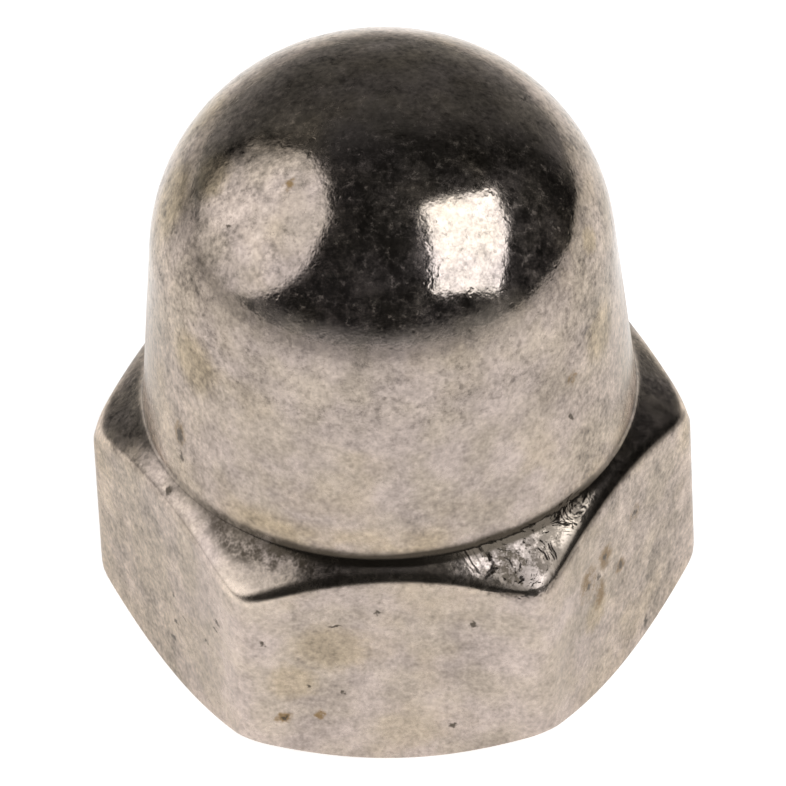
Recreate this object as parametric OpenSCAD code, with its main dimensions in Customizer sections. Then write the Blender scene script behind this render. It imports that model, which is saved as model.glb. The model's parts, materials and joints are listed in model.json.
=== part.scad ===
// Domed cap nut: a hexagon for the spanner, a neck and dome above it, and a blind tapped hole from below.
// Lengths are in millimetres and angles in degrees. The nut stands on its bearing face at z = 0 with its axis
// on Z, one flat of the hexagon facing -Y and one corner pointing along +X.

/* [Hexagon] */
// Width across the flats
across_flats = 8; // [7.6:0.1:10]
// Height of the hexagon, up to the foot of the neck
hexagon_height = 4; // [3:0.1:6]
// Radius of the six upright corners
corner_radius = 0.5; // [0.1:0.05:0.9]
// Slope of the chamfer over the upper corners, measured from level
upper_chamfer_angle = 38; // [20:1:45]
// Slope of the chamfer under the lower corners, measured from level
lower_chamfer_angle = 37.5; // [20:0.5:45]
// Diameter of the flat bearing face
bearing_diameter = 7.8; // [6.5:0.1:8.4]

/* [Neck and dome] */
// Overall height, from the bearing face to the crown
overall_height = 10; // [9.2:0.1:13]
// Diameter of the neck at its foot
neck_diameter = 7.5; // [6:0.1:7.6]
// Inward lean of the neck's wall
neck_draft = 4.5; // [0:0.5:7]
// Radius of the hollow round the foot of the neck
neck_fillet_radius = 0.2; // [0.05:0.05:0.4]
// Radius of the dome's shoulder, as a share of the neck's radius
shoulder_share = 0.81; // [0.6:0.01:0.85]
// Radius of the dome's crown, as a share of the neck's radius
crown_share = 1.165; // [1.05:0.005:1.5]

/* [Tapped hole] */
// Diameter of the hole, as drilled for the thread
bore_diameter = 4.2; // [3:0.1:5]
// Depth of the hole at its full diameter
bore_depth = 7.5; // [5:0.1:8]
// Full angle of the drill's point at the end of the hole
drill_point_angle = 118; // [90:1:150]
// Diameter of the countersink at the mouth
countersink_diameter = 5.4; // [5.1:0.1:6.4]
// Full angle of the countersink
countersink_angle = 120; // [60:5:130]

/* [Hidden] */
$fn = 96;
steel_colour = "#b8aea2";
flat_count = 6;
// How far a cut or a stock shape runs past the surface that ends it
overrun = 0.5;
// How far the crown's mask reaches, as a share of the crown's radius
mask_share = 2;

// The hexagonal bar, seen from above
corner_turn = 360 / flat_count;
corner_half_turn = corner_turn / 2;
corner_centre_distance = (across_flats / 2 - corner_radius) / cos(corner_half_turn);
corner_distance = corner_centre_distance + corner_radius;

// The turned outline, from the bearing face to the foot of the neck
bearing_radius = bearing_diameter / 2;
neck_radius = neck_diameter / 2;
stock_radius = corner_distance + overrun;
lower_chamfer_top = (stock_radius - bearing_radius) * tan(lower_chamfer_angle);
upper_chamfer_foot = hexagon_height - (stock_radius - neck_radius) * tan(upper_chamfer_angle);
neck_foot = [neck_radius, hexagon_height];

// The hollow at the foot of the neck touches the chamfer and the neck's wall
chamfer_normal = 90 - upper_chamfer_angle;
fillet_centre = neck_foot + neck_fillet_radius / cos(upper_chamfer_angle + neck_draft)
    * [cos(upper_chamfer_angle) - sin(neck_draft), cos(neck_draft) - sin(upper_chamfer_angle)];
fillet_on_chamfer = fillet_centre - polar(neck_fillet_radius, chamfer_normal);
fillet_on_neck = fillet_centre - polar(neck_fillet_radius, neck_draft);

// The shoulder's arc touches the neck's wall, and the crown's arc touches the shoulder's
shoulder_radius = shoulder_share * neck_radius;
crown_radius = crown_share * neck_radius;
crown_centre = [0, overall_height - crown_radius];
centre_line_point = neck_foot - polar(shoulder_radius, neck_draft);
centre_line_rise = shoulder_centre_rise(centre_line_point - crown_centre, crown_radius - shoulder_radius);
shoulder_centre = centre_line_point + polar(centre_line_rise, 90 + neck_draft);
shoulder_on_neck = shoulder_centre + polar(shoulder_radius, neck_draft);
crown_start_angle = atan2(shoulder_centre.y - crown_centre.y, shoulder_centre.x);

// The tapped hole
bore_radius = bore_diameter / 2;
countersink_radius = countersink_diameter / 2;
countersink_depth = (countersink_radius - bore_radius) / tan(countersink_angle / 2);
countersink_overrun_radius = countersink_radius + overrun * tan(countersink_angle / 2);
drill_point_height = bore_radius / tan(drill_point_angle / 2);

// The point at a distance and an angle from the origin
function polar(distance, angle) = distance * [cos(angle), sin(angle)];

// How far up the line parallel to the neck's wall a point lies at a set distance from the crown's centre
function shoulder_centre_rise(start, distance) =
    let (along = start * polar(1, 90 + neck_draft))
    sqrt(pow(along, 2) - start * start + pow(distance, 2)) - along;

// Hexagon with rounded corners, a corner on +X
module hexagon_section() {
    corner_angles = [for (i = [0 : flat_count - 1]) i * corner_turn];
    polygon([
        for (angle = corner_angles, side = [-1, 1])
            polar(corner_centre_distance, angle) + polar(corner_radius, angle + side * corner_half_turn)
    ]);
    for (angle = corner_angles)
        translate(polar(corner_centre_distance, angle))
            circle(corner_radius);
}

// Half of the chamfered stock and the neck, up to the shoulder
module stock_outline() {
    difference() {
        polygon([
            [0, 0],
            [bearing_radius, 0],
            [stock_radius, lower_chamfer_top],
            [stock_radius, upper_chamfer_foot],
            fillet_on_chamfer,
            fillet_on_neck,
            shoulder_on_neck,
            [0, shoulder_on_neck.y]
        ]);
        translate(fillet_centre)
            circle(neck_fillet_radius);
    }
}

// Half of the dome: the shoulder's disc, and the slice of the crown's disc above where the two touch
module dome_outline() {
    mask_reach = mask_share * crown_radius;
    intersection() {
        translate(shoulder_centre)
            circle(shoulder_radius);
        square([stock_radius, overall_height]);
    }
    translate(crown_centre)
        intersection() {
            circle(crown_radius);
            polygon([[0, 0], polar(mask_reach, crown_start_angle), [0, mask_reach]]);
        }
}

// Half of the hole's outline: countersink, straight bore and drill point
module hole_outline() {
    polygon([
        [0, -overrun],
        [countersink_overrun_radius, -overrun],
        [bore_radius, countersink_depth],
        [bore_radius, bore_depth],
        [0, bore_depth + drill_point_height]
    ]);
}

// The nut: turned stock, kept inside a hexagonal bar and drilled from below
module cap_nut() {
    color(steel_colour)
    difference() {
        intersection() {
            rotate_extrude() {
                stock_outline();
                dome_outline();
            }
            linear_extrude(overall_height + overrun)
                hexagon_section();
        }
        rotate_extrude()
            hole_outline();
    }
}

cap_nut();
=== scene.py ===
"""A domed cap nut of tumbled stainless steel on a pale floor.

The nut is modelled in millimetres, the way it is made: a blank is turned, six flats are planed on it,
its edges are tumbled round, and the hole is drilled and tapped. It is then brought to the frame's metres.
"""

import json
from math import atan2, cos, degrees, hypot, pi, radians, sin, sqrt, tan

import bpy
from mathutils import Matrix, Vector


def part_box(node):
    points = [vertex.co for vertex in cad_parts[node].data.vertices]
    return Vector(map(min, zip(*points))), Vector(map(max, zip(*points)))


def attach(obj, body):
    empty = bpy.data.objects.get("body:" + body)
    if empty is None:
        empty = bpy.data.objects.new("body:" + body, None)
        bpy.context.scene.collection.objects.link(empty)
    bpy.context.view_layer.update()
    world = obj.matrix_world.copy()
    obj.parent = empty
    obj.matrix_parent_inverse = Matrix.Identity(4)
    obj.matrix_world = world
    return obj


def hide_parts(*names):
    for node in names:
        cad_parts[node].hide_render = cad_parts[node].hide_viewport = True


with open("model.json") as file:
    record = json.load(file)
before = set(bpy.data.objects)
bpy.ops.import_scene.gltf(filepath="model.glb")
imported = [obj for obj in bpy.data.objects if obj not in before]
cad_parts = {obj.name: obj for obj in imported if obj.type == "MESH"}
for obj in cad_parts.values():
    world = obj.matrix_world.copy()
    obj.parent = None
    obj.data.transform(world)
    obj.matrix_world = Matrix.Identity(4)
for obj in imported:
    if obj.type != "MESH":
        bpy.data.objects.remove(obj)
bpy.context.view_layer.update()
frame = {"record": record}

# Sizes of the nut, in millimetres and degrees
MM = 0.001
low_corner, high_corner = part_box("cap_nut")
ACROSS_FLATS = (high_corner.y - low_corner.y) / MM
HEIGHT = (high_corner.z - low_corner.z) / MM
FLAT_COUNT = 6
HEXAGON_HEIGHT = 4.0
CORNER_RADIUS = 0.5
UPPER_CHAMFER = 38.0
LOWER_CHAMFER = 37.5
BEARING_RADIUS = 3.9
NECK_RADIUS = 3.75
NECK_DRAFT = 4.5
NECK_FILLET = 0.2
SHOULDER_RADIUS = 0.81 * NECK_RADIUS
CROWN_RADIUS = 1.165 * NECK_RADIUS

# The hole and its right-hand thread
tapped_hole = next(mount for mount in frame["record"]["mounts"] if mount["name"] == "tapped_hole")
BORE_RADIUS = tapped_hole["dims"]["r_mm"]
BORE_DEPTH = 7.5
DRILL_POINT = 118.0
COUNTERSINK_RADIUS = 2.7
COUNTERSINK = 120.0
THREAD_PITCH = 0.8
THREAD_RADIUS = 2.5
THREAD_DEPTH = 6.4
THREAD_FLANK = 30.0

# How finely the nut is divided: steps to a turn, millimetres along a line and degrees along an arc
TURN_STEPS = 480
RING_STEP = 0.05
ARC_STEP = 3.0
HOLLOW_STEP = 6.0
FLAT_STEP = 0.12
NECK_STEP = 0.6
THREAD_STEPS = 72
MERGE_DISTANCE = 0.0005
SHARP_ANGLE = 25.0

# Tumbling: passes of smoothing over the hexagon, from this far inside its bearing face, and further
# passes over its upper edges, from this far below the neck's foot
TUMBLE_PASSES = 5
EDGE_PASSES = 18
TUMBLE_FACTOR = 0.5
TUMBLE_REACH = 0.5
EDGE_REACH = 0.85

# Steel colours
STEEL_COOL = (0.39, 0.324, 0.288, 1)
STEEL_WARM = (0.375, 0.313, 0.26, 1)
STEEL_GRAZED = (0.93, 0.90, 0.87, 1)
STEEL_STAIN = (0.345, 0.275, 0.19, 1)
STEEL_OCHRE = (0.39, 0.305, 0.20, 1)
STEEL_RUST = (0.19, 0.122, 0.056, 1)
# Dark colour of the grime in the specks and pits, also used for painted shade on the front chamfers, in the
# hollow and along the upper edges
DIRT_AND_SHADE = (0.062, 0.05, 0.038, 1)

# Noises in the steel: blotches to the millimetre, levels of detail, roughness and distortion
NOISES = {
    "mottle": (0.9, 5, 0.95, 0),
    "tint": (1.2, 2, 0.5, 0),
    "stain": (0.8, 3, 0.5, 0),
    "blotch": (2.2, 4, 0.85, 0),
    "grain": (12.0, 1, 0.5, 0),
    "speck": (7.0, 1, 0.5, 0),
    "dent": (13.0, 2, 0.5, 0),
    "lump": (1.9, 1, 0.5, 0),
    "swirl": (1.9, 3, 0.55, 0.7),
    "smoke": (2.0, 5, 0.9, 0),
    "dust": (8.0, 3, 0.7, 0),
}
NOISE_MIDDLE = 0.5

# Parts of a noise's range over which patches come in
PATCHY_NOISES = {"speck": (0.62, 0.74), "smoke": (0.42, 0.72), "dust": (0.56, 0.76)}
TINT_RANGE = (0.35, 0.65)
STAIN_RANGE = (0.5, 0.7)
OCHRE_RANGE = (0.3, 0.55)
RUST_RANGE = (0.4, 0.54)
CHAMFER_SHADE_RANGE = (0.62, 0.42)
SHADE_RANGE = (0.62, 0.46)
SWIRL_SHADE_RANGE = (0.57, 0.41)
HOLLOW_SHADE_RANGE = (0.2, 0.6)

# Zones of the finish, in millimetres: where each one begins and where it is full
POLISH_HEIGHTS = (5.6, 6.9)
CORNER_RADII = (4.25, 4.42)
CHAMFER_DEPTHS = (0.2, 0.05)
# Painted shade: a dark line along the upper edges of the front and front-right faces, below the chamfer
EDGE_SHADE_WIDTHS = (0.17, 0.08)
EDGE_SHADE_DEPTHS = (0.09, 0.04)
LIT_EDGE_WIDTHS = (0.34, 0.1)
HOLLOW_OFFSET = NECK_FILLET / 6
HOLLOW_REACHES = (0.2, 0.03)
GROOVE_REACHES = (0.16, 0.08)
CHAMFER_SHADE_REACHES = (0.62, 0.3)
FOOT_REACHES = (0.7, 0.3)

# Sectors of the finish, in degrees: azimuth from the front, and spread to either side
FRONT_SECTOR = (0, 60)
FOOT_SECTOR = (-14, 34)
CHAMFER_SHADE_SECTOR = (-27, 26)
GROOVE_SECTOR = (18, 55)
SHADE_SECTOR = (19, 15)
SWIRL_SECTOR = (35, 20)

# How much of each stain, rust, dirt and painted shade covers the steel
STAIN_SHARE = 0.35
MARK_STAIN_SHARE = 0.7
SIDE_STAIN_SHARE = 0.2
OCHRE_SHARE = 0.7
RUST_SHARE = 0.12
RUST_PATCH_SHARE = 0.8
CHAMFER_SHADE_SHARE = 0.4
CHAMFER_SHADE_PATCH_SHARE = 0.6
SHADE_SHARE = 0.7
SWIRL_SHADE_SHARE = 0.75
HOLLOW_SHARE = 0.75
SIDE_HOLLOW_LOSS = 0.45
GROOVE_SHADE_SHARE = 0.8
SPECK_SHARE = 0.15
DOME_SPECK_SHARE = 0.15
PIT_SHARE = 0.9
EDGE_SHADE_SHARE = 0.8

# How strongly noises and zones lighten or darken the steel: the lightening at the corners and along the lit
# edge is a painted highlight, and the darkening of the side chamfers is a painted shade
MOTTLE_CONTRAST = 1.9
GRAIN_CONTRAST = 0.6
SIDE_BLOTCH_CONTRAST = 1.9
SIDE_GRAIN_CONTRAST = 0.35
# Painted highlights: the corners are lighter, most of all on the chamfer
CORNER_PAINTED_HIGHLIGHT = 0.14
CHAMFER_CORNER_PAINTED_HIGHLIGHT = 0.35
# Painted highlight in a strip on the chamfer beside the left front face
LIT_EDGE_PAINTED_HIGHLIGHT = 0.3
# Painted shade on the chamfers of the side faces
SIDE_CHAMFER_PAINTED_SHADE = 0.3
SMOKE_SHADE = 0.28

# Roughness and haze of the steel, and its relief in millimetres
DULL_ROUGHNESS = 0.26
BRIGHT_ROUGHNESS = 0.12
CHAMFER_ROUGHNESS = 0.2
HAZY_ROUGHNESS = 0.6
MOTTLE_ROUGHNESS = 0.3
SWIRL_SHINE = 0.03
SMOKE_HAZE = 0.28
CHAMFER_HAZE = 0.16
DUST_HAZE = 0.3
MOTTLE_RELIEF = 0.003
DENT_RELIEF = 0.0013
SPECK_RELIEF = 0.0008
LUMP_RELIEF = 0.006
SWIRL_RELIEF = 0.085

# Marks of wear: azimuth from the front in degrees, height and half width in millimetres, and flatness
PITS = (
    (-26, 2.55, 0.07, 1), (-12, 2.9, 0.13, 3), (-3, 3.15, 0.08, 2), (-11, 1.5, 0.06, 1),
    (-18, 1.65, 0.06, 1), (-23, 1, 0.08, 1), (12, 0.75, 0.08, 1), (17, 2.85, 0.06, 0.6),
    (66, 2.85, 0.08, 1), (53, 2.7, 0.08, 0.6), (59, 2.15, 0.08, 0.8), (46, 2.5, 0.08, 1),
    (69, 0.4, 0.08, 0.6), (-39, 2.25, 0.1, 1.5), (-56, 1.4, 0.08, 2), (-58, 0.95, 0.11, 2),
    (-57, 1.9, 0.06, 1), (-59, 3.9, 0.1, 1), (-54, 8.9, 0.06, 1), (105, 9.3, 0.11, 3),
    (-58, 5, 0.11, 0.5), (-57, 4.6, 0.08, 0.6), (50, 5.5, 0.07, 1), (-38, 2.45, 0.08, 1.5),
    (-43, 1.75, 0.08, 1.5), (-52, 1.65, 0.07, 2), (-33, 3.8, 0.08, 1), (50, 2.45, 0.08, 1),
)
FLECKS = (
    (-42, 9.55, 0.13, 1), (53, 2.7, 0.24, 0.8), (46, 2.55, 0.34, 0.8), (66, 2.85, 0.2, 1),
    (59, 2.15, 0.18, 1), (-23, 1, 0.16, 1), (-16, 1.05, 0.11, 1), (-58, 5, 0.2, 0.6),
    (52, 6.2, 0.16, 1), (50, 2.1, 0.25, 0.7),
)
STAINS = (
    (-13, 2.45, 0.8, 1.3), (-21, 1.75, 0.5, 1), (48, 1.8, 0.4, 1), (-53, 6.65, 0.7, 1),
    (66, 6.45, 0.6, 1), (71, 7.95, 0.3, 1), (-84, 8.3, 0.8, 1), (-95, 7.2, 0.7, 1),
    (-75, 9.1, 0.5, 1), (-110, 8.9, 0.6, 1),
)
MARK_BORDER_SHARES = (1, 0.4)
RAGGED_SCALE = 9.0
RAGGED_REACH = 0.1

# Floor: lengths are in metres, and its colour and glow dim between two distances from the nut, a painted pool
# of light around it
CIRCLE_STEPS = 128
FLOOR_CENTRE = (-0.51, -0.206, 0)
FLOOR_RADIUS = 0.625
FLOOR_DARKER = (0.80, 0.795, 0.785, 1)
FLOOR_LIGHTER = (0.83, 0.825, 0.815, 1)
FLOOR_CLOUDS = 4.0
FLOOR_ROUGHNESS = 0.9
FLOOR_GLOW = 0.8
FLOOR_GLOW_COLOUR = (1, 0.99, 0.975)
FLOOR_DISTANCES = (0.07, 0.015)
FLOOR_DIM = 0.48

# Softboxes: radiances are those that the polished dome mirrors, sizes are shares of the distance in metres,
# and the cloth's glow changes between shares of its radius
SOFTBOX_DISTANCE = 0.6
RIGHT_DIRECTION = (0.669, -0.383, 0.638)
RIGHT_ACROSS = (0.708, 0.507, -0.489)
RIGHT_SIZE_SHARES = (0.69, 0.92)
RIGHT_RADIANCE = 2.6
RIGHT_COLOUR = (0.95, 1, 1.06)
WATTS_PER_RADIANCE = 4.0
LEFT_DIRECTION = (-0.833, 0.011, 0.553)
LEFT_ACROSS = (0, 1, 0)
LEFT_SIZE_SHARES = (1.56, 1.56)
LEFT_RADIANCE = 1.56
LEFT_COLOUR = (1, 1.01, 1.03, 1)
CLOTH_RIM_SHARES = (1.03, 0.86)
CLOTH_BACK_SHARES = (1.0, 0.3)
CLOTH_LOW_SHARES = (0.3, 0.9)
CLOTH_LOW_SHADE = 0.4

# Room: facings and heights are shares of a direction's length
ROOM_COLOUR = (1, 1.04, 1.07, 1)
ROOM_DARK = 0.022
WALL_DIRECTION = (-0.26, 0.966, 0)
WALL_FACINGS = (0.25, 0.7)
WALL_GREY = 0.115
WALL_GLOW = 0.22
WALL_GLOW_HEIGHTS = (0.4, -0.05)
FRONT_FACINGS = (-0.3, -0.7)
FRONT_GLOW = 0.42
FRONT_GLOW_HEIGHTS = (0.2, -0.05)

# Camera: angles in degrees, places in millimetres, its focal length in pixels of the square picture, and
# the nearest and farthest that it sees, as a share of its distance and in metres
CAMERA_AZIMUTH = 2.12
CAMERA_ELEVATION = 43.05
CAMERA_ROLL = -2.88
CAMERA_DISTANCE = 224.0
CAMERA_TARGET_RIGHT = 0.048
CAMERA_TARGET_HEIGHT = 3.919
FOCAL_PIXELS = 14765.7
PICTURE_PIXELS = 786
SENSOR_WIDTH = 36.0
NEAREST_SHARE = 0.01
FARTHEST_DISTANCE = 6.25


# Modelling helpers

def make_active(piece):
    """Selects one object and makes it the one that operators act on."""
    bpy.ops.object.select_all(action="DESELECT")
    piece.select_set(True)
    bpy.context.view_layer.objects.active = piece


def select_points(piece, wanted):
    """Goes into edit mode with just those points selected whose place is wanted."""
    bpy.ops.object.mode_set(mode="EDIT")
    bpy.ops.mesh.select_mode(type="VERT")
    bpy.ops.mesh.select_all(action="DESELECT")
    bpy.ops.object.mode_set(mode="OBJECT")
    for point in piece.data.vertices:
        point.select = wanted(point.co)
    bpy.ops.object.mode_set(mode="EDIT")


def apply_modifier(piece, kind, **settings):
    """Adds a modifier to a piece with these settings and applies it."""
    make_active(piece)
    modifier = piece.modifiers.new(kind.lower(), kind)
    for setting, value in settings.items():
        setattr(modifier, setting, value)
    bpy.ops.object.modifier_apply(modifier=modifier.name)


def cut_away(piece, tool):
    """Takes a tool's shape out of a piece, then throws the tool away."""
    apply_modifier(piece, "BOOLEAN", operation="DIFFERENCE", solver="EXACT", object=tool)
    bpy.data.objects.remove(tool)


def arc(centre, radius, first_angle, last_angle, step=ARC_STEP):
    """Points on an arc, both ends included."""
    count = max(2, round(abs(last_angle - first_angle) / step))
    angles = [radians(first_angle + (last_angle - first_angle) * i / count) for i in range(count + 1)]
    return [(centre[0] + radius * cos(a), centre[1] + radius * sin(a)) for a in angles]


def straight(start, end, step=RING_STEP):
    """Points on a straight line, the last one left out."""
    count = max(1, round(hypot(end[0] - start[0], end[1] - start[1]) / step))
    return [tuple(Vector(start).lerp(Vector(end), i / count)) for i in range(count)]


def turn(name, outline, steps=TURN_STEPS):
    """Turns an outline of (radius, height) points into a closed solid, ring by ring. It ends on the axis."""
    bpy.ops.object.select_all(action="DESELECT")
    radius, height = outline[0]
    bpy.ops.mesh.primitive_circle_add(
        vertices=steps, radius=radius, fill_type="NGON", location=(0, 0, height)
    )
    bpy.ops.object.transform_apply(location=True)
    piece = bpy.context.object
    piece.name = name
    piece.data.name = name
    bpy.ops.object.mode_set(mode="EDIT")
    bpy.ops.mesh.select_all(action="SELECT")
    for next_radius, next_height in outline[1:-1]:
        bpy.ops.mesh.extrude_region_move(TRANSFORM_OT_translate={"value": (0, 0, next_height - height)})
        ratio = next_radius / radius
        bpy.ops.transform.resize(value=(ratio, ratio, 1), center_override=(0, 0, next_height))
        radius, height = next_radius, next_height
    bpy.ops.mesh.extrude_region_move(TRANSFORM_OT_translate={"value": (0, 0, outline[-1][1] - height)})
    bpy.ops.mesh.merge(type="CENTER")
    bpy.ops.mesh.select_all(action="SELECT")
    bpy.ops.mesh.normals_make_consistent(inside=False)
    bpy.ops.object.mode_set(mode="OBJECT")
    return piece


# The nut

def turned_outline(stock_radius):
    """Half of the turned blank, from inside the bearing face out over the stock and up to the crown."""
    chamfer, draft = radians(UPPER_CHAMFER), radians(NECK_DRAFT)
    bearing_start = (COUNTERSINK_RADIUS + BEARING_RADIUS) / 2
    lower_top = (stock_radius - BEARING_RADIUS) * tan(radians(LOWER_CHAMFER))
    upper_foot = HEXAGON_HEIGHT - (stock_radius - NECK_RADIUS) * tan(chamfer)

    reach = NECK_FILLET / cos(chamfer + draft)
    hollow_centre = (
        NECK_RADIUS + reach * (cos(chamfer) - sin(draft)),
        HEXAGON_HEIGHT + reach * (cos(draft) - sin(chamfer)),
    )
    hollow = arc(hollow_centre, NECK_FILLET, 270 - UPPER_CHAMFER, 180 + NECK_DRAFT, HOLLOW_STEP)

    crown_centre = Vector((0, HEIGHT - CROWN_RADIUS))
    line_start = Vector((
        NECK_RADIUS - SHOULDER_RADIUS * cos(draft),
        HEXAGON_HEIGHT - SHOULDER_RADIUS * sin(draft),
    ))
    line_direction = Vector((-sin(draft), cos(draft)))
    from_crown = line_start - crown_centre
    along = from_crown.dot(line_direction)
    rise = sqrt(along**2 - from_crown.length_squared + (CROWN_RADIUS - SHOULDER_RADIUS)**2) - along
    shoulder_centre = line_start + rise * line_direction
    crown_start = degrees(atan2(shoulder_centre.y - crown_centre.y, shoulder_centre.x))
    shoulder = arc(shoulder_centre, SHOULDER_RADIUS, NECK_DRAFT, crown_start)
    crown = arc(crown_centre, CROWN_RADIUS, crown_start, 90)
    return [
        *straight((bearing_start, 0), (BEARING_RADIUS, 0)),
        *straight((BEARING_RADIUS, 0), (stock_radius, lower_top)),
        *straight((stock_radius, lower_top), (stock_radius, upper_foot), FLAT_STEP),
        *straight((stock_radius, upper_foot), hollow[0]),
        *hollow,
        *straight(hollow[-1], shoulder[0], NECK_STEP)[1:],
        *shoulder,
        *crown[1:],
    ]


def plane_flats(piece):
    """Planes six flats on the blank, which is turned on by one sixth after each cut."""
    flat = -ACROSS_FLATS / 2
    make_active(piece)
    for _ in range(FLAT_COUNT):
        select_points(piece, lambda place: place.y < flat)
        bpy.ops.transform.resize(value=(1, 0, 1), center_override=(0, flat, 0))
        bpy.ops.mesh.select_all(action="SELECT")
        bpy.ops.transform.rotate(value=2 * pi / FLAT_COUNT, orient_axis="Z", center_override=(0, 0, 0))
        bpy.ops.object.mode_set(mode="OBJECT")


def tumble(piece):
    """Wears the hexagon's edges round, most of all the upper ones, up to the hollow at the neck's foot."""
    tumble_start = BEARING_RADIUS - TUMBLE_REACH
    edge_start = HEXAGON_HEIGHT - EDGE_REACH
    make_active(piece)
    select_points(piece, lambda place: place.z < HEXAGON_HEIGHT and hypot(place.x, place.y) > tumble_start)
    bpy.ops.mesh.vertices_smooth(factor=TUMBLE_FACTOR, repeat=TUMBLE_PASSES)
    select_points(piece, lambda place: edge_start < place.z < HEXAGON_HEIGHT)
    bpy.ops.mesh.vertices_smooth(factor=TUMBLE_FACTOR, repeat=EDGE_PASSES)
    bpy.ops.object.mode_set(mode="OBJECT")


def hole_outline():
    """Half of the drilled hole: countersink, straight bore and drill point."""
    spread = tan(radians(COUNTERSINK / 2))
    overrun = THREAD_PITCH
    point_height = BORE_RADIUS / tan(radians(DRILL_POINT / 2))
    return [
        (COUNTERSINK_RADIUS + overrun * spread, -overrun),
        (BORE_RADIUS, (COUNTERSINK_RADIUS - BORE_RADIUS) / spread),
        (BORE_RADIUS, BORE_DEPTH),
        (BORE_RADIUS / 2, BORE_DEPTH + point_height / 2),
        (0, BORE_DEPTH + point_height),
    ]


def thread_groove():
    """The groove that the tap cuts: its section, wound up the bore as a right-hand helix.

    The section's root is an eighth of the pitch wide, and its mouth lies a little inside the bore.
    """
    root_width = THREAD_PITCH / 8
    inner_radius = BORE_RADIUS - THREAD_PITCH / 16
    depth = THREAD_RADIUS - inner_radius
    mouth_width = root_width + 2 * depth * tan(radians(THREAD_FLANK))
    middle = (inner_radius + THREAD_RADIUS) / 2
    start = (middle, 0, -THREAD_PITCH)
    turns = round(THREAD_DEPTH / THREAD_PITCH) + 1

    bpy.ops.object.select_all(action="DESELECT")
    bpy.ops.mesh.primitive_plane_add(size=1, location=start, rotation=(pi / 2, 0, 0))
    groove = bpy.context.object
    groove.scale = (depth, root_width, 1)
    bpy.ops.object.transform_apply()
    select_points(groove, lambda place: place.x < middle)
    bpy.ops.transform.resize(value=(1, 1, mouth_width / root_width), center_override=start)
    bpy.ops.mesh.select_all(action="SELECT")
    bpy.ops.mesh.delete(type="ONLY_FACE")
    bpy.ops.object.mode_set(mode="OBJECT")
    apply_modifier(groove, "SCREW", axis="Z", angle=2 * pi, screw_offset=THREAD_PITCH, iterations=turns,
                   steps=THREAD_STEPS, render_steps=THREAD_STEPS)
    bpy.ops.object.mode_set(mode="EDIT")
    bpy.ops.mesh.select_all(action="SELECT")
    bpy.ops.mesh.remove_doubles(threshold=MERGE_DISTANCE)
    bpy.ops.mesh.fill_holes(sides=4)
    bpy.ops.mesh.normals_make_consistent(inside=False)
    bpy.ops.object.mode_set(mode="OBJECT")
    return groove


def make_nut():
    """Models the nut in millimetres and brings it to the frame's metres."""
    corner_distance = (ACROSS_FLATS / 2 - CORNER_RADIUS) / cos(pi / FLAT_COUNT) + CORNER_RADIUS
    piece = turn("cap_nut_steel", turned_outline(corner_distance))
    plane_flats(piece)
    tumble(piece)
    cut_away(piece, turn("drill", hole_outline(), THREAD_STEPS))
    cut_away(piece, thread_groove())
    make_active(piece)
    bpy.ops.object.shade_smooth_by_angle(angle=radians(SHARP_ANGLE))
    piece.scale = (MM, MM, MM)
    bpy.ops.object.transform_apply(scale=True)
    return piece


# Material nodes

class Value:
    """A number that runs through a material's nodes. Arithmetic on it adds Math nodes."""

    def __init__(self, nodes, socket):
        self.nodes = nodes
        self.socket = socket

    def maths(self, operation, *numbers):
        return self.nodes.node("ShaderNodeMath", {"operation": operation}, dict(enumerate(numbers)))

    def __add__(self, other):
        return self.maths("ADD", self, other)

    def __radd__(self, other):
        return self.maths("ADD", other, self)

    def __sub__(self, other):
        return self.maths("SUBTRACT", self, other)

    def __rsub__(self, other):
        return self.maths("SUBTRACT", other, self)

    def __mul__(self, other):
        return self.maths("MULTIPLY", self, other)

    def __rmul__(self, other):
        return self.maths("MULTIPLY", other, self)

    def __truediv__(self, other):
        return self.maths("DIVIDE", self, other)

    def __rtruediv__(self, other):
        return self.maths("DIVIDE", other, self)

    def __abs__(self):
        return self.maths("ABSOLUTE", self)

    def smaller(self, other):
        return self.maths("MINIMUM", self, other)

    def root(self):
        return self.maths("SQRT", self)

    def swing(self):
        """How far a noise is above or below its middle."""
        return self - NOISE_MIDDLE

    def rise(self, low, high):
        """0 below low, 1 above high, and a smooth step between. Low above high makes it fall."""
        return self.nodes.node(
            "ShaderNodeMapRange",
            {"interpolation_type": "SMOOTHSTEP"},
            {"Value": self, "From Min": low, "From Max": high},
        )


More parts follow.
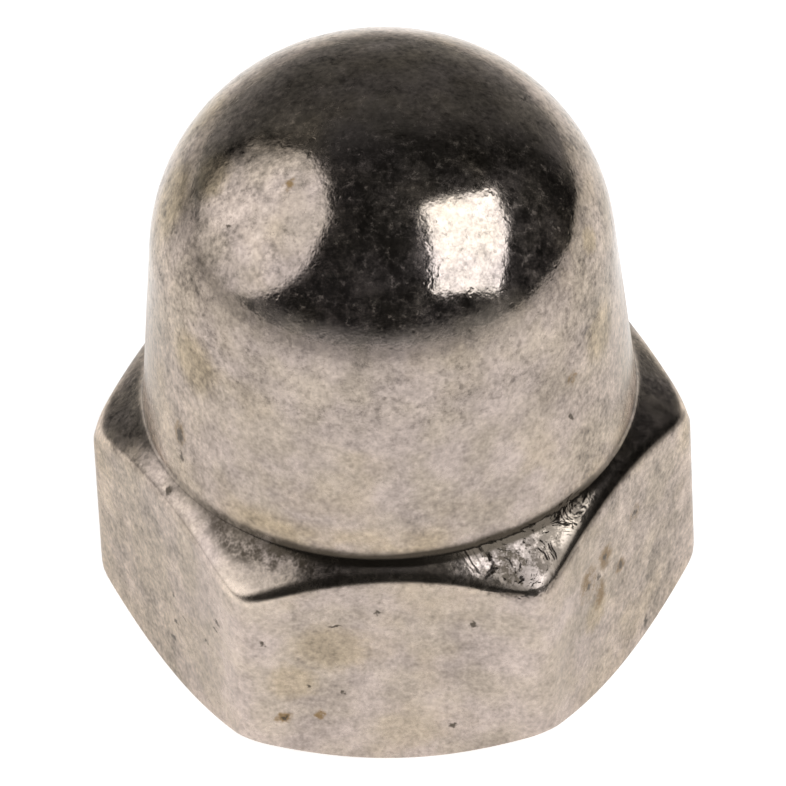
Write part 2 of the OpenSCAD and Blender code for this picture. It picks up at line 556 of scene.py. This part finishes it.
class Nodes:
    """The nodes of a material or of the world, made by name."""

    def __init__(self, owner):
        owner.use_nodes = True
        self.owner = owner
        self.tree = owner.node_tree
        self.tree.nodes.clear()

    def node(self, kind, settings=None, sockets=None, output=0):
        """Makes a node, sets it up, fills or links its sockets and gives one of its outputs."""
        made = self.tree.nodes.new(kind)
        for setting, value in (settings or {}).items():
            setattr(made, setting, value)
        for name, value in (sockets or {}).items():
            if isinstance(value, Value):
                self.tree.links.new(value.socket, made.inputs[name])
            else:
                made.inputs[name].default_value = value
        return Value(self, made.outputs[output]) if made.outputs else None

    def place(self, scale=1):
        """Object coordinates in millimetres times a scale."""
        coordinates = self.node("ShaderNodeTexCoord", output="Object")
        sockets = {0: coordinates, "Scale": scale / MM}
        return self.node("ShaderNodeVectorMath", {"operation": "SCALE"}, sockets)

    def noise(self, scale, detail=2, roughness=0.5, distortion=0, output=0):
        """Cloudy noise from 0 to 1, with so many blotches to the millimetre."""
        shape = {"Scale": 1.0, "Detail": detail, "Roughness": roughness, "Distortion": distortion}
        return self.node("ShaderNodeTexNoise", sockets={"Vector": self.place(scale), **shape}, output=output)

    def part_of(self, vector, axis):
        """One of the three numbers of a vector."""
        return self.node("ShaderNodeSeparateXYZ", sockets={"Vector": vector}, output=axis)

    def length(self, vector):
        return self.node("ShaderNodeVectorMath", {"operation": "LENGTH"}, {0: vector}, output="Value")

    def times_plus(self, vector, factor, offset):
        """A vector times a factor, plus an offset, axis by axis."""
        sockets = {0: vector, 1: factor, 2: offset}
        return self.node("ShaderNodeVectorMath", {"operation": "MULTIPLY_ADD"}, sockets)

    def mix(self, share, first, second):
        """Blends two colours, which are a Mix node's sockets 6 and 7 and its output 2."""
        sockets = {"Factor": share, 6: first, 7: second}
        return self.node("ShaderNodeMix", {"data_type": "RGBA"}, sockets, output=2)

    def shade(self, colour, amount):
        """A colour times an amount of light."""
        if not isinstance(colour, Value):
            colour = colour[:3]
        return self.node("ShaderNodeVectorMath", {"operation": "SCALE"}, {0: colour, "Scale": amount})

    def finish(self, shader, kind="Material"):
        """Ends the nodes in a shader and gives the material or the world that they make."""
        self.node("ShaderNodeOutput" + kind, sockets={"Surface": shader})
        return self.owner


def new_material(name):
    return Nodes(bpy.data.materials.new(name))


# Tumbled steel

def outer_point(piece, azimuth, height):
    """The point on a piece's outside at an azimuth from the front and a height, in millimetres."""
    outwards = Vector((sin(radians(azimuth)), -cos(radians(azimuth)), 0))
    start = (2 * ACROSS_FLATS * outwards + Vector((0, 0, height))) * MM
    place = piece.ray_cast(start, -outwards)[1]
    return place / MM


def spots(steel, place, piece, marks):
    """1 on the marks and 0 off them. A mark has an azimuth, a height, a half width and a flatness."""
    nearest = None
    for azimuth, height, size, flatness in marks:
        stretch = Vector((1, 1, flatness)) / size
        offset = -stretch * outer_point(piece, azimuth, height)
        reach = steel.length(steel.times_plus(place, stretch, offset))
        nearest = nearest.smaller(reach) if nearest else reach
    return nearest.rise(*MARK_BORDER_SHARES)


def worn_marks(steel, piece):
    """Where the pits, the rust flecks and the stains are, with ragged borders."""
    wobble = steel.noise(RAGGED_SCALE, output="Color")
    reach = Vector((2, 2, 2)) * RAGGED_REACH
    ragged = steel.times_plus(wobble, reach, steel.times_plus(steel.place(), (1, 1, 1), -reach / 2))
    return [spots(steel, ragged, piece, marks) for marks in (PITS, FLECKS, STAINS)]


def noises_of(steel):
    """The steel's noises by name. The patchy ones are 1 on a patch and 0 off it."""
    noises = {name: steel.noise(*settings) for name, settings in NOISES.items()}
    for name, patch_range in PATCHY_NOISES.items():
        noises[name] = noises[name].rise(*patch_range)
    return noises


def zones_of(steel):
    """Where on the nut a point is: each zone is 1 inside and 0 outside."""
    across, along, height = (steel.part_of(steel.place(), axis) for axis in "XYZ")
    radius = (across * across + along * along).root()

    def towards(azimuth, spread):
        """1 within half the spread of an azimuth and 0 beyond all of it."""
        turned = radians(azimuth)
        facing = (across * sin(turned) - along * cos(turned)) / radius
        return facing.rise(cos(radians(spread)), cos(radians(spread / 2)))

    below_cone = HEXAGON_HEIGHT - (radius - NECK_RADIUS) * tan(radians(UPPER_CHAMFER)) - height
    chamfer = abs(below_cone).rise(*CHAMFER_DEPTHS)

    flat_turn = 2 * pi / FLAT_COUNT
    slanted, level = across * sin(flat_turn), along * cos(flat_turn)
    front_gap = ACROSS_FLATS / 2 + along
    right_gap = ACROSS_FLATS / 2 - (slanted - level)
    left_gap = ACROSS_FLATS / 2 + slanted + level
    # Painted shade: a dark line along the upper edges of the front and front-right faces
    dark_edge = front_gap.smaller(right_gap).rise(*EDGE_SHADE_WIDTHS) * below_cone.rise(*EDGE_SHADE_DEPTHS)

    neck = height.rise(HEXAGON_HEIGHT, HEXAGON_HEIGHT + NECK_FILLET)
    outwards = radius - (NECK_RADIUS + HOLLOW_OFFSET)
    upwards = height - (HEXAGON_HEIGHT + HOLLOW_OFFSET)
    from_hollow = (outwards * outwards + upwards * upwards).root()
    return {
        "dome": height.rise(*POLISH_HEIGHTS),
        "sides": 1 - towards(*FRONT_SECTOR),
        "corners": radius.rise(*CORNER_RADII),
        "chamfer": chamfer,
        "dark_edge": dark_edge,
        # Strip for the painted highlight on the chamfer beside the left front face
        "lit_edge": left_gap.rise(*LIT_EDGE_WIDTHS) * chamfer,
        # Painted shade in the hollow at the neck's foot, and a darker band on its lower side towards the
        # front right
        "hollow": from_hollow.rise(*HOLLOW_REACHES),
        "groove": from_hollow.rise(*GROOVE_REACHES) * (1 - neck) * towards(*GROOVE_SECTOR),
        "foot": from_hollow.rise(*FOOT_REACHES) * neck * towards(*FOOT_SECTOR),
        # Painted shade on the front chamfers: darker towards the hollow at the front left, a shaded patch at
        # the front right, and dark blotches among the swirls
        "smudge": from_hollow.rise(*CHAMFER_SHADE_REACHES) * chamfer * towards(*CHAMFER_SHADE_SECTOR),
        "shaded": chamfer * towards(*SHADE_SECTOR),
        "swirls": chamfer * (1 - dark_edge) * towards(*SWIRL_SECTOR),
    }


def bare_tone(steel, zones, noises, stains):
    """Warm grey in two tints, stained brown in places, and mottled, with painted highlights on the corners
    and along the left chamfer edge, and painted shade on the side chamfers.
    """
    stain = noises["stain"]
    brown = STAIN_SHARE * stain.rise(*STAIN_RANGE) + MARK_STAIN_SHARE * stains
    ochre = OCHRE_SHARE * stain.rise(*OCHRE_RANGE) * zones["foot"]
    tone = steel.mix(noises["tint"].rise(*TINT_RANGE), STEEL_COOL, STEEL_WARM)
    tone = steel.mix(brown + SIDE_STAIN_SHARE * zones["sides"], tone, STEEL_STAIN)
    tone = steel.mix(ochre, tone, STEEL_OCHRE)

    grain = noises["grain"].swing()
    light = 1 + MOTTLE_CONTRAST * noises["mottle"].swing() + GRAIN_CONTRAST * grain
    # Painted highlight on the corners, strongest on the chamfer
    light = light + zones["corners"] * (CORNER_PAINTED_HIGHLIGHT + CHAMFER_CORNER_PAINTED_HIGHLIGHT * zones["chamfer"])
    # Painted highlight along the chamfer beside the left front face
    light = light + LIT_EDGE_PAINTED_HIGHLIGHT * zones["lit_edge"] - SMOKE_SHADE * noises["smoke"] * zones["dome"]
    side_light = SIDE_BLOTCH_CONTRAST * noises["blotch"].swing() + SIDE_GRAIN_CONTRAST * grain
    # Painted shade: the chamfers of the side faces are darker
    side_light = side_light - SIDE_CHAMFER_PAINTED_SHADE * zones["chamfer"]
    return steel.shade(tone, light + side_light * zones["sides"])


def soiled_and_shaded_tone(steel, zones, noises, tone, pits, flecks):
    """A tone with rust flecks, with grime in the specks and pits, and with painted shade on the front
    chamfers, in the hollow and along the upper edges.
    """
    mottle, blotch = noises["mottle"], noises["blotch"]
    rust = flecks * (RUST_SHARE + RUST_PATCH_SHARE * blotch.rise(*RUST_RANGE))
    # Painted shade on the front chamfers: darker towards the hollow at the front left, a shaded patch at the
    # front right, and dark blotches among the swirls
    smudge = CHAMFER_SHADE_SHARE + CHAMFER_SHADE_PATCH_SHARE * mottle.rise(*CHAMFER_SHADE_RANGE)
    smudge = smudge * zones["smudge"] * (1 - zones["lit_edge"])
    smudge = smudge + SHADE_SHARE * mottle.rise(*SHADE_RANGE) * zones["shaded"]
    smudge = smudge + SWIRL_SHADE_SHARE * blotch.rise(*SWIRL_SHADE_RANGE) * zones["swirls"]
    # Painted shade in the hollow at the neck's foot, patchy and weaker on the sides, with a darker band on
    # its lower side towards the front right
    hollow = noises["stain"].rise(*HOLLOW_SHADE_RANGE) * (HOLLOW_SHARE - SIDE_HOLLOW_LOSS * zones["sides"])
    hollow = hollow * zones["hollow"] + GROOVE_SHADE_SHARE * zones["groove"]
    small_marks = noises["speck"] * (SPECK_SHARE + DOME_SPECK_SHARE * zones["dome"]) + PIT_SHARE * pits
    # Painted shade along the upper edges of the front and front-right faces
    small_marks = small_marks + EDGE_SHADE_SHARE * zones["dark_edge"]

    tone = steel.mix(rust, tone, STEEL_RUST)
    # Grime in specks and pits, and painted shade, mixed in with the same dark colour
    for dirt_and_shade in (smudge, hollow, small_marks):
        tone = steel.mix(dirt_and_shade, tone, DIRT_AND_SHADE)
    return tone


def steel_roughness(zones, noises):
    """Dull on the neck and the hexagon, bright on the dome and between the two on the chamfers."""
    roughness = DULL_ROUGHNESS + (BRIGHT_ROUGHNESS - DULL_ROUGHNESS) * zones["dome"]
    roughness = roughness + MOTTLE_ROUGHNESS * noises["mottle"].swing()
    roughness = roughness + (CHAMFER_ROUGHNESS - roughness) * zones["chamfer"]
    return roughness - SWIRL_SHINE * zones["swirls"]


def steel_relief(zones, noises):
    """Fine dents all over, soft lumps on the dome and the chamfers, and deep swirls on one chamfer."""
    relief = MOTTLE_RELIEF * noises["mottle"].swing() + DENT_RELIEF * noises["dent"].swing()
    relief = relief - SPECK_RELIEF * noises["speck"]
    relief = relief + LUMP_RELIEF * noises["lump"].swing() * (zones["chamfer"] + zones["dome"])
    return relief + SWIRL_RELIEF * noises["swirl"].swing() * zones["swirls"]


def steel_haze(zones, noises):
    """How much of the steel is hazy: smoky patches and dust on the dome, and a film on the front chamfers."""
    haze = SMOKE_HAZE * noises["smoke"] * (zones["dome"] + zones["chamfer"])
    haze = haze + CHAMFER_HAZE * zones["chamfer"] * (1 - zones["sides"])
    return haze + DUST_HAZE * noises["dust"] * zones["dome"]


def tumbled_steel(piece):
    """Stainless steel after tumbling: mottled and dull, with a smoky polished dome and dented chamfers."""
    steel = new_material("tumbled_steel")
    zones = zones_of(steel)
    noises = noises_of(steel)
    pits, flecks, stains = worn_marks(steel, piece)
    tone = bare_tone(steel, zones, noises, stains)
    relief = steel_relief(zones, noises)
    metal = {
        "Base Color": soiled_and_shaded_tone(steel, zones, noises, tone, pits, flecks),
        "Metallic": 1.0,
        "Specular Tint": STEEL_GRAZED,
        "Normal": steel.node("ShaderNodeBump", sockets={"Strength": 1.0, "Distance": MM, "Height": relief}),
    }
    roughness = steel_roughness(zones, noises)
    clean = steel.node("ShaderNodeBsdfPrincipled", sockets={**metal, "Roughness": roughness})
    hazy = steel.node("ShaderNodeBsdfPrincipled", sockets={**metal, "Roughness": HAZY_ROUGHNESS})
    haze = steel_haze(zones, noises)
    return steel.finish(steel.node("ShaderNodeMixShader", sockets={"Fac": haze, 1: clean, 2: hazy}))


# Studio

def floor_finish():
    """Matt pale floor that glows a little, so that its shadows stay soft, and dims away from the nut: a
    painted pool of light around the nut.
    """
    floor = new_material("pale_floor")
    place = floor.node("ShaderNodeTexCoord", output="Object")
    clouds = floor.node("ShaderNodeTexNoise", sockets={"Vector": place, "Scale": FLOOR_CLOUDS})
    tone = floor.mix(clouds, FLOOR_DARKER, FLOOR_LIGHTER)
    distance = floor.length(floor.times_plus(place, (1, 1, 1), FLOOR_CENTRE))
    # Painted pool of light: colour and glow are brighter near the nut
    light = FLOOR_DIM + (1 - FLOOR_DIM) * distance.rise(*FLOOR_DISTANCES)
    return floor.finish(floor.node("ShaderNodeBsdfPrincipled", sockets={
        "Base Color": floor.shade(tone, light),
        "Roughness": FLOOR_ROUGHNESS,
        "Emission Color": floor.shade(FLOOR_GLOW_COLOUR, light),
        "Emission Strength": FLOOR_GLOW,
    }))


def make_floor():
    """Round floor under the nut."""
    bpy.ops.object.select_all(action="DESELECT")
    bpy.ops.mesh.primitive_circle_add(
        vertices=CIRCLE_STEPS, radius=FLOOR_RADIUS, fill_type="NGON", location=FLOOR_CENTRE
    )
    floor = bpy.context.object
    floor.name = "floor"
    floor.data.materials.append(floor_finish())


def facing_nut(direction, across):
    """A turned place in the studio that faces the nut, with its width along across."""
    back = Vector(direction).normalized()
    side = Vector(across)
    side = (side - side.dot(back) * back).normalized()
    turned = Matrix((side, back.cross(side), back)).transposed().to_4x4()
    return Matrix.Translation(back * SOFTBOX_DISTANCE) @ turned


def make_right_softbox():
    """Oblong softbox at the front right."""
    light = bpy.data.lights.new("right_softbox", "AREA")
    light.shape = "RECTANGLE"
    light.size, light.size_y = (SOFTBOX_DISTANCE * share for share in RIGHT_SIZE_SHARES)
    light.energy = RIGHT_RADIANCE * WATTS_PER_RADIANCE * light.size * light.size_y
    light.color = RIGHT_COLOUR
    softbox = bpy.data.objects.new("right_softbox", light)
    bpy.context.collection.objects.link(softbox)
    softbox.matrix_world = facing_nut(RIGHT_DIRECTION, RIGHT_ACROSS)


def cloth_finish():
    """Cloth that glows, less towards its rim, its back and its lower part."""
    cloth = new_material("left_cloth")
    place = cloth.node("ShaderNodeTexCoord", output="Object")
    backwards, downwards = (cloth.part_of(place, axis) for axis in "XY")
    glow = cloth.length(place).rise(*CLOTH_RIM_SHARES) * backwards.rise(*CLOTH_BACK_SHARES)
    glow = glow * (1 - CLOTH_LOW_SHADE * downwards.rise(*CLOTH_LOW_SHARES))
    sockets = {"Color": cloth.shade(LEFT_COLOUR, glow), "Strength": LEFT_RADIANCE}
    return cloth.finish(cloth.node("ShaderNodeEmission", sockets=sockets))


def make_left_softbox():
    """Round cloth at the left."""
    bpy.ops.object.select_all(action="DESELECT")
    bpy.ops.mesh.primitive_circle_add(vertices=CIRCLE_STEPS, radius=1, fill_type="NGON")
    softbox = bpy.context.object
    softbox.name = "left_softbox"
    softbox.data.materials.append(cloth_finish())
    wide, high = (SOFTBOX_DISTANCE * share / 2 for share in LEFT_SIZE_SHARES)
    softbox.matrix_world = facing_nut(LEFT_DIRECTION, LEFT_ACROSS) @ Matrix.Diagonal((wide, high, 1, 1))


def make_room():
    """Dark room: a dim grey wall at the back, and a low glow there and at the front."""
    room = Nodes(bpy.data.worlds.new("room"))
    direction = room.node("ShaderNodeTexCoord", output="Generated")
    back, up = (room.part_of(direction, axis) for axis in "YZ")
    sockets = {0: direction, 1: WALL_DIRECTION}
    towards_wall = room.node("ShaderNodeVectorMath", {"operation": "DOT_PRODUCT"}, sockets, output="Value")
    wall = WALL_GREY - ROOM_DARK + WALL_GLOW * up.rise(*WALL_GLOW_HEIGHTS)
    front = FRONT_GLOW * up.rise(*FRONT_GLOW_HEIGHTS)
    light = ROOM_DARK + wall * towards_wall.rise(*WALL_FACINGS) + front * back.rise(*FRONT_FACINGS)
    colour = room.shade(ROOM_COLOUR, light)
    background = room.node("ShaderNodeBackground", sockets={"Color": colour})
    bpy.context.scene.world = room.finish(background, "World")


def make_camera():
    """Long lens above the nut, at the photograph's angle."""
    azimuth, elevation, roll = (radians(a) for a in (CAMERA_AZIMUTH, CAMERA_ELEVATION, CAMERA_ROLL))
    back = Vector((sin(azimuth) * cos(elevation), -cos(azimuth) * cos(elevation), sin(elevation)))
    right = Vector((cos(azimuth), sin(azimuth), 0))
    up = back.cross(right)
    rolled_right = cos(roll) * right + sin(roll) * up
    rolled_up = cos(roll) * up - sin(roll) * right
    target = CAMERA_TARGET_RIGHT * right + Vector((0, 0, CAMERA_TARGET_HEIGHT))
    lens = bpy.data.cameras.new("camera")
    lens.sensor_width = SENSOR_WIDTH
    lens.lens = FOCAL_PIXELS * SENSOR_WIDTH / PICTURE_PIXELS
    lens.clip_start = CAMERA_DISTANCE * MM * NEAREST_SHARE
    lens.clip_end = FARTHEST_DISTANCE
    camera = bpy.data.objects.new("camera", lens)
    bpy.context.collection.objects.link(camera)
    turned = Matrix((rolled_right, rolled_up, back)).transposed().to_4x4()
    camera.matrix_world = Matrix.Translation((target + CAMERA_DISTANCE * back) * MM) @ turned
    bpy.context.scene.camera = camera


nut = make_nut()
nut.data.materials.append(tumbled_steel(nut))
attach(nut, "root")
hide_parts("cap_nut")

make_floor()
make_right_softbox()
make_left_softbox()
make_room()
make_camera()
bpy.context.scene.view_settings.view_transform = "Standard"
